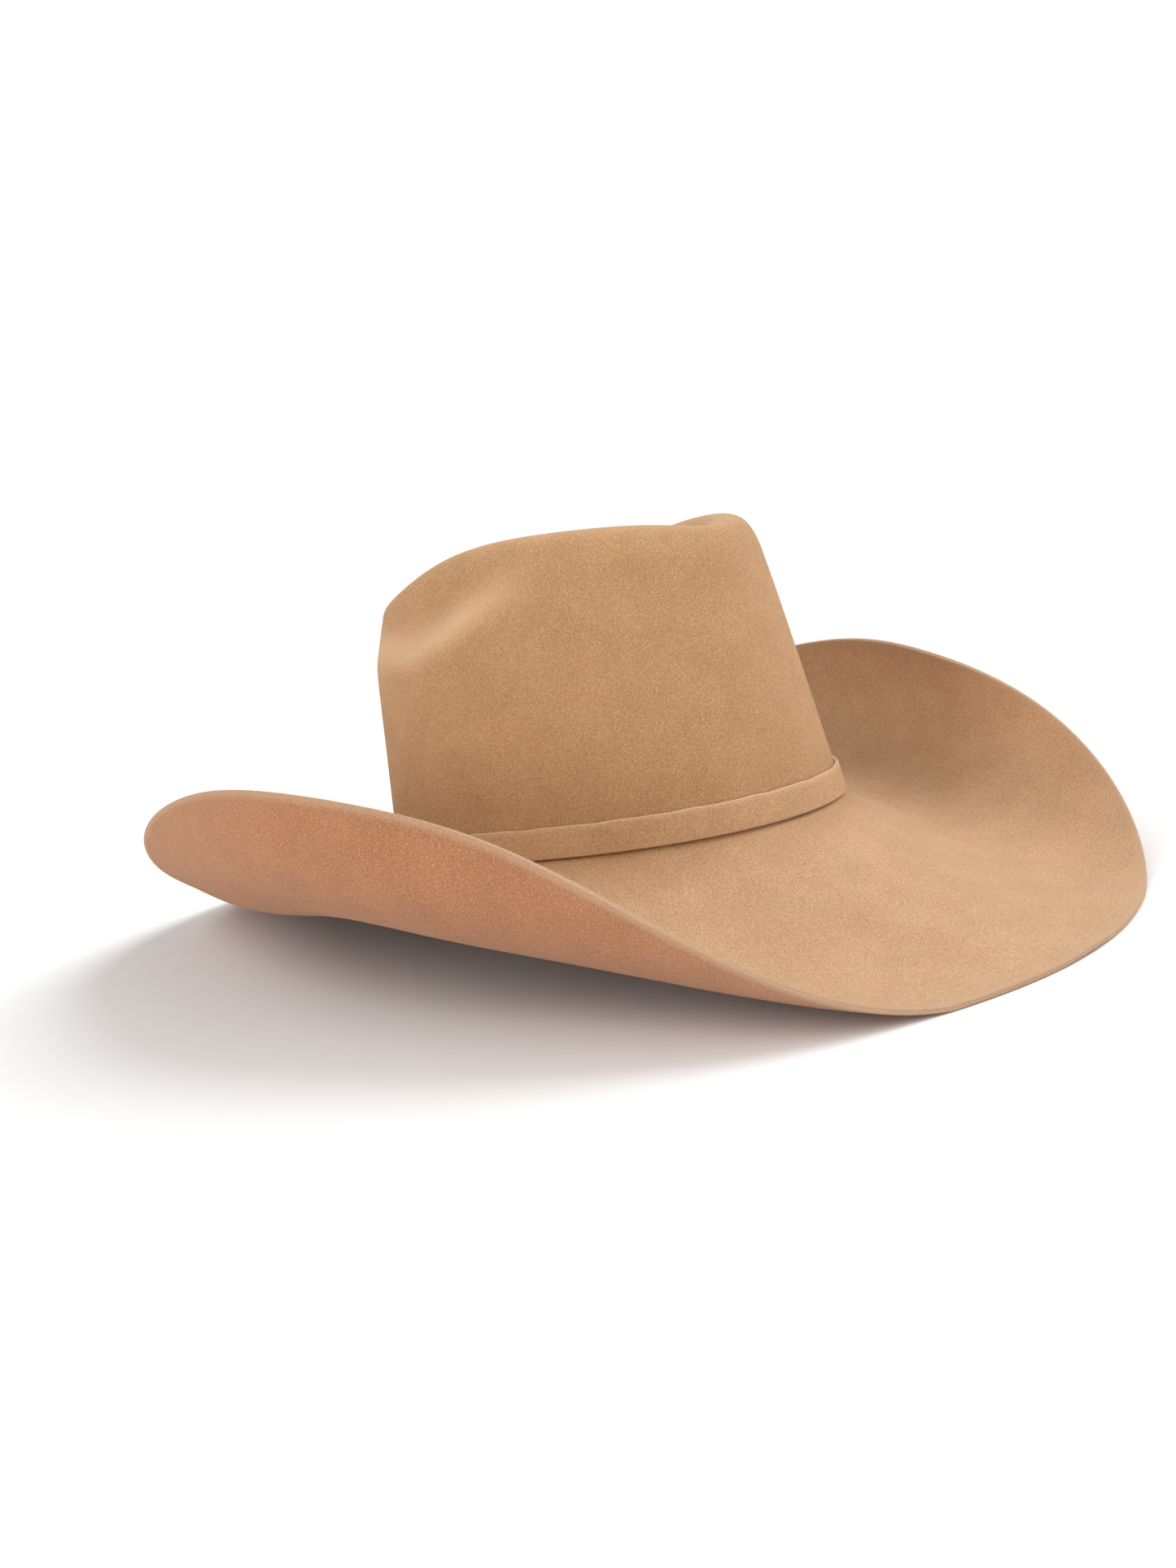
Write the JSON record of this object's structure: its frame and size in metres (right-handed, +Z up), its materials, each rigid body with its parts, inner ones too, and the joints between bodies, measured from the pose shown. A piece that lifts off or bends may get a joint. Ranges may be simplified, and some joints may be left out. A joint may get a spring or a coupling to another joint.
{
  "type": "felt cowboy hat",
  "caption": "Felt cowboy hat with a creased crown leaning back, a wide brim curled up at both sides, and a narrow felt band round the foot of the crown.",
  "frame": {"origin": "on the surface the hat rests on, under the middle of its outline seen from above", "axes": "+Z up, front of the hat towards -Y, wearer's left towards +X"},
  "size_m": [0.3584, 0.411, 0.1573],
  "materials": {
    "body_felt": "matt tan wool felt with a short nap",
    "band_felt": "matt tan wool felt strip with raw cut edges"
  },
  "bodies": {
    "root": {"crown_and_brim": "body_felt", "hat_band": "band_felt"}
  },
  "joints": []
}
